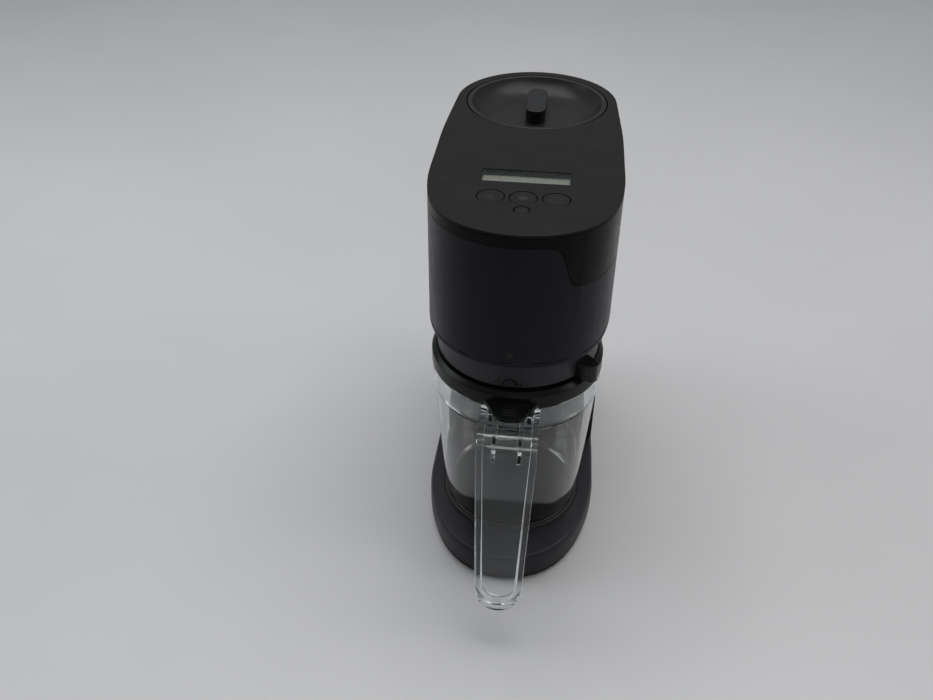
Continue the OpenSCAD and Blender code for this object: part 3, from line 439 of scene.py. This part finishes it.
def weigh_edges(mesh, top):
    """Marks the sharp edges that start below a height, for the bevel."""
    def ends(key):
        return tuple(sorted(tuple(round(c, 6) for c in mesh.vertices[i].co) for i in key))

    beside = {}
    for polygon in mesh.polygons:
        for key in polygon.edge_keys:
            beside.setdefault(ends(key), []).append(polygon.normal.copy())
    weights = mesh.attributes.new("bevel_weight_edge", "FLOAT", "EDGE")
    for edge, weight in zip(mesh.edges, weights.data):
        pair = ends(edge.vertices)
        normals = beside.get(pair, [])
        sharp = len(normals) == 2 and normals[0].angle(normals[1], 0) > SHARP_EDGE
        weight.value = 1.0 if sharp and min(point[2] for point in pair) < top else 0.0


def add_bevel(obj, width, segments, method, miter):
    """Rounds the edges that the method picks: by their angle, or by their weight."""
    bevel = obj.modifiers.new("bevel", "BEVEL")
    bevel.width = width
    bevel.segments = segments
    bevel.limit_method = method
    bevel.angle_limit = SHARP_EDGE
    bevel.use_clamp_overlap = False
    bevel.miter_outer = miter


def soften(node, width, segments=2, top=None):
    """Rounds a moulded part's sharp edges, so that they catch the light.

    With a top, the edges that start below it get the full width, and the others a hair's width.
    """
    obj = NODES[node]
    weld = obj.modifiers.new("weld", "WELD")
    weld.merge_threshold = 0.01 * MM
    flat = obj.modifiers.new("flat", "DECIMATE")
    flat.decimate_type = "DISSOLVE"
    flat.angle_limit = FLAT_FACE
    if top is None:
        add_bevel(obj, width, segments, "ANGLE", "MITER_ARC")
    else:
        weigh_edges(obj.data, top)
        add_bevel(obj, width, segments, "WEIGHT", "MITER_ARC")
        add_bevel(obj, HAIR, 2, "ANGLE", "MITER_SHARP")
    normals = obj.modifiers.new("normals", "WEIGHTED_NORMAL")
    normals.keep_sharp = False
    for polygon in obj.data.polygons:
        polygon.use_smooth = True


# radius of the rounding in millimetres, and the nodes that have it
ROUNDED = {
    0.2: ("hot_plate",),
    0.25: ("button_left", "button_centre", "button_right", "button_small"),
    0.3: ("top_panel", "collar_panel", "filter_holder"),
    0.4: ("tank_lid",),
    0.5: ("base_housing", "base_bottom_cover", "bean_lid", "jug_lid", "water_tank"),
    0.6: ("drum_shell", "column_housing", "filter_lever"),
}
CLOSELY_SEEN = ("filter_lever", "bean_lid")

for width, nodes in ROUNDED.items():
    for node in nodes:
        soften(node, width * MM, 3 if node in CLOSELY_SEEN else 2)

# the clear handle: a full round along its long grip, fine edges at its collar
soften("jug_handle", 1.35 * MM, 3, top=0.15)

# the display's flat layers stay flat
for node in ("lcd_window", "lcd_module"):
    for polygon in NODES[node].data.polygons:
        polygon.use_smooth = False


# ---- printed marks: thin raised shapes, drawn in millimetres ----

MARK_HEIGHT = 0.12 * MM
MARK_SINK = 0.03 * MM
gloss_black = plastic("mark_black", (0.004, 0.004, 0.004), 0.22, bump=0.03)
print_grey = plastic("mark_grey", (0.0125, 0.0125, 0.0135), 0.4, bump=0.03, specular=0.2)


def mark(name, shapes, place, body, material):
    """Closed flat shapes, each a list of points, laid onto a surface by place(x, y, height)."""
    bm = bmesh.new()
    for points in shapes:
        low = [bm.verts.new(place(x, y, 0)) for x, y in points]
        high = [bm.verts.new(place(x, y, MARK_HEIGHT)) for x, y in points]
        n = len(points)
        bm.faces.new(high)
        bm.faces.new(low[::-1])
        for i in range(n):
            j = (i + 1) % n
            bm.faces.new((low[i], low[j], high[j], high[i]))
    bmesh.ops.recalc_face_normals(bm, faces=bm.faces)
    mesh = bpy.data.meshes.new(name)
    bm.to_mesh(mesh)
    bm.free()
    mesh.materials.append(material)
    obj = bpy.data.objects.new(name, mesh)
    bpy.context.scene.collection.objects.link(obj)
    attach(obj, body)


def strip(points, width):
    """A line of that width along the points, as one closed shape."""
    left, right = [], []
    for i, (x, y) in enumerate(points):
        a, b = points[max(i - 1, 0)], points[min(i + 1, len(points) - 1)]
        dx, dy = b[0] - a[0], b[1] - a[1]
        n = math.hypot(dx, dy)
        left.append((x - dy / n * width / 2, y + dx / n * width / 2))
        right.append((x + dy / n * width / 2, y - dx / n * width / 2))
    return left + right[::-1]


def arc_points(cx, cy, r, a0, a1, n):
    """Points on an arc from angle a0 to a1, in n steps."""
    return [(cx + r * math.cos(a0 + (a1 - a0) * i / n), cy + r * math.sin(a0 + (a1 - a0) * i / n))
            for i in range(n + 1)]


def rounded(x0, y0, x1, y1, r, n=4):
    """Outline of a rectangle with round corners."""
    corners = ((x1 - r, y1 - r, 0), (x0 + r, y1 - r, 90), (x0 + r, y0 + r, 180), (x1 - r, y0 + r, 270))
    return [p for cx, cy, a in corners
            for p in arc_points(cx, cy, r, math.radians(a), math.radians(a + 90), n)]


RING_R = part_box("filter_holder")[1].x
BREW_Y = -0.043


def on_ring(angle, z0):
    """Wraps a flat drawing round the holder's ring, centred at an angle from the front."""
    def place(x, y, height):
        a = angle + x * MM / RING_R - math.pi / 2
        r = RING_R + height - MARK_SINK
        return (r * math.cos(a), BREW_Y + r * math.sin(a), z0 + y * MM)
    return place


# on the holder's ring: an arrow beside the lever, and a round opening between slanted strokes at the front
ARROW_AT = (math.radians(40.6), 0.241)
OPENING_AT = (math.radians(-1.3), 0.2272)
STROKES = ((14.6, 0.6, 9.6, 8.2), (11.6, 0.6, 9.4, 4.0))
arrow = [(-2.3, 1.7), (0, -2.4), (2.3, 1.7)]
opening = arc_points(0, 0.6, 7.4, math.pi, 0, 20)
strokes = [strip([(side * x0, y0), (side * x1, y1)], 0.9) for side in (-1, 1) for x0, y0, x1, y1 in STROKES]
mark("lock_arrow", [arrow], on_ring(*ARROW_AT), "holder", gloss_black)
mark("open_mark", [opening, *strokes], on_ring(*OPENING_AT), "holder", gloss_black)


DRUM_FRONT_R = 0.092


def on_drum(x0, z0):
    """Maps a flat drawing onto the front arc of the brewing head."""
    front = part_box("drum_shell")[0].y

    def place(x, y, height):
        a = (x0 + x * MM) / DRUM_FRONT_R
        r = DRUM_FRONT_R + height - MARK_SINK
        return (r * math.sin(a), front + DRUM_FRONT_R - r * math.cos(a), z0 + y * MM)
    return place


# low on the front of the brewing head: a small padlock
PADLOCK_AT = (-0.0024, 0.271)
padlock = rounded(-2.9, -2.6, 2.9, 1.4, 0.6)
shackle = strip(arc_points(0, 1.6, 1.9, 0, math.pi, 10), 0.8)
mark("drum_lock", [padlock, shackle], on_drum(*PADLOCK_AT), "chassis", gloss_black)


KEY_DISH = 0.5 * MM


def on_key(node, size):
    """Maps a flat drawing, enlarged by size, onto a key's slightly dished face."""
    low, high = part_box(node)
    cx, cy, top = (low.x + high.x) / 2, (low.y + high.y) / 2, high.z

    def place(x, y, height):
        return (cx + x * size * MM, cy + y * size * MM, top - KEY_DISH + MARK_SINK + height)
    return place


def cup_icon():
    """A cup with a handle and steam: its tapered body, its loop and two wisps."""
    body = [(-3.0, 2.0), (-2.5, -1.8), (-1.8, -2.5), (1.4, -2.5), (2.1, -1.8), (2.6, 2.0)]
    loop = strip(arc_points(2.8, 0.2, 1.5, -1.3, 1.3, 8), 0.6)
    steam = [strip([(x, 3.0), (x + 0.5, 3.7), (x, 4.4)], 0.5) for x in (-1.5, 0.8)]
    return [body, loop, *steam]


def clock_icon():
    """A clock face with two hands."""
    hands = strip([(0, 2.2), (0, 0), (1.6, -0.9)], 0.6)
    return [strip(arc_points(0, 0, 3.4, 0.25, 2 * math.pi + 0.05, 24), 0.6), hands]


def grind_icon():
    """A grinder's burr: six skewed blades round a hub."""
    blades = []
    for i in range(6):
        a = i * math.pi / 3
        inner = (math.cos(a), math.sin(a))
        outer = (3.2 * math.cos(a + 0.5), 3.2 * math.sin(a + 0.5))
        blades.append(strip([inner, outer], 0.7))
    return [*blades, arc_points(0, 0, 0.7, 0, 2 * math.pi * 11 / 12, 11)]


def power_icon():
    """A broken circle with a bar in its gap."""
    return [strip(arc_points(0, 0, 1.9, math.radians(125), math.radians(415), 18), 0.5),
            strip([(0, 0.6), (0, 2.5)], 0.5)]


for key, icon, size in (("left", grind_icon(), 1.5), ("centre", cup_icon(), 1.5),
                        ("right", clock_icon(), 1.5), ("small", power_icon(), 1.35)):
    mark("icon_" + key, icon, on_key("button_" + key, size), "key_" + key, print_grey)


# ---- floor ----

def make_floor():
    """A plain pale floor, a little cloudy."""
    mesh = bpy.data.meshes.new("floor")
    bm = bmesh.new()
    bmesh.ops.create_grid(bm, x_segments=2, y_segments=2, size=14)
    bm.to_mesh(mesh)
    bm.free()
    floor = bpy.data.objects.new("floor", mesh)
    bpy.context.scene.collection.objects.link(floor)
    t = Tree("floor")
    t.join(t.blend(t.spread(t.noise(1.3, 4.0, 0.6), 0.3, 0.7), (0.41, 0.41, 0.42), (0.445, 0.445, 0.455)),
           t.shader.inputs["Base Color"])
    t.join(t.spread(t.noise(3, 3.0), 0.3, 0.7, 0.42, 0.55), t.shader.inputs["Roughness"])
    mesh.materials.append(t.mat)


make_floor()
